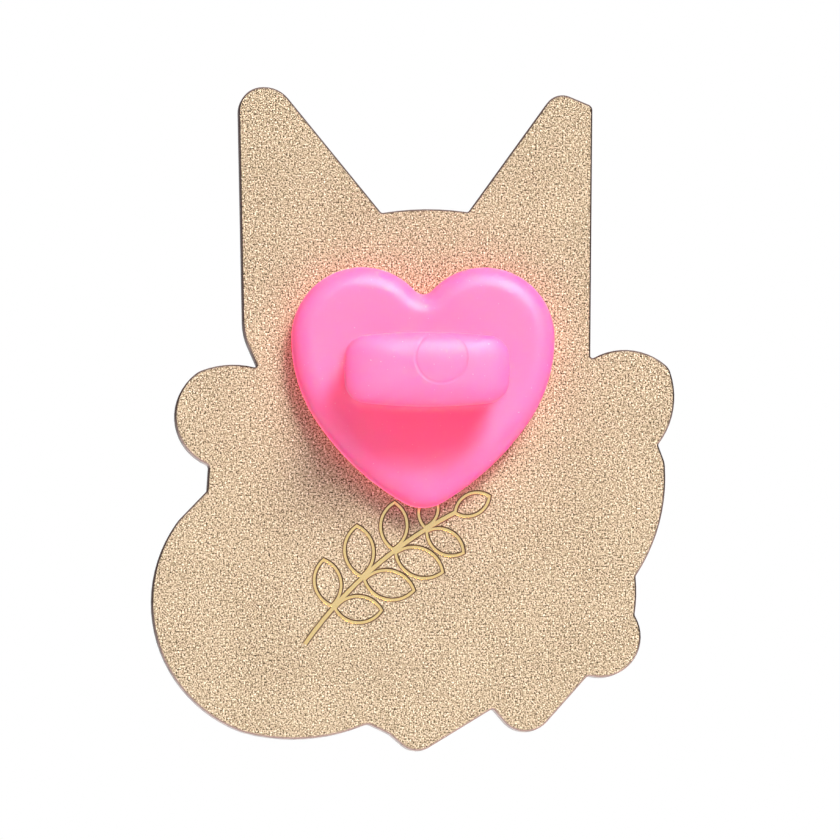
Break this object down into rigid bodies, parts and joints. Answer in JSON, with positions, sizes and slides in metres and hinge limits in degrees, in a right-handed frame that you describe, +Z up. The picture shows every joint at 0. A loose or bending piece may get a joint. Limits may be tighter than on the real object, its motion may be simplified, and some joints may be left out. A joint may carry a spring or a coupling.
{
  "type": "enamel pin",
  "caption": "Die-struck plated lapel pin with a kitten outline, enamel-filled front, soldered post and a heart-shaped rubber clutch that pulls off.",
  "frame": {"origin": "on the post's axis, at the plate's back face, where the pin sits against the cloth", "axes": "+Z up as worn, +Y out of the enamelled front, -Y along the post and out of the back"},
  "size_m": [0.025, 0.0084, 0.0317],
  "materials": {
    "plated_metal": "sandblasted back, polished edges and lines",
    "plated_post": "polished",
    "solder": "satin",
    "pink_rubber": "translucent satin",
    "enamel_fur": "polished hard enamel",
    "enamel_cream": "polished hard enamel",
    "enamel_stripe": "polished hard enamel",
    "enamel_rose": "polished hard enamel",
    "enamel_dark": "polished hard enamel",
    "enamel_white": "polished hard enamel",
    "enamel_teal": "polished hard enamel",
    "enamel_yellow": "polished hard enamel"
  },
  "bodies": {
    "pin": {"base_plate": "plated_metal", "pin_post": "plated_post", "solder_joint": "solder", "face": "enamel_fur", "torso": "enamel_fur", "paw_left": "enamel_fur", "paw_right": "enamel_fur", "tail": "enamel_fur", "muzzle": "enamel_cream", "chest_bib": "enamel_cream", "tail_tip": "enamel_cream", "foot_left": "enamel_cream", "foot_right": "enamel_cream", "hind_foot": "enamel_cream", "forehead_stripes": "enamel_stripe", "tail_stripes": "enamel_stripe", "inner_ear_left": "enamel_rose", "inner_ear_right": "enamel_rose", "paw_pads_left": "enamel_rose", "paw_pads_right": "enamel_rose", "blush_left": "enamel_rose", "blush_right": "enamel_rose", "nose": "enamel_rose", "eye_left": "enamel_dark", "eye_right": "enamel_dark", "eye_glint_left": "enamel_white", "eye_glint_right": "enamel_white", "collar": "enamel_teal", "collar_bell": "enamel_yellow"},
    "clutch": {"clutch": "pink_rubber"}
  },
  "joints": [
    {"name": "clutch_pull_off", "type": "slide", "parent": "pin", "child": "clutch", "axis": [0, -1, 0], "range_m": [0, 0.012]}
  ]
}
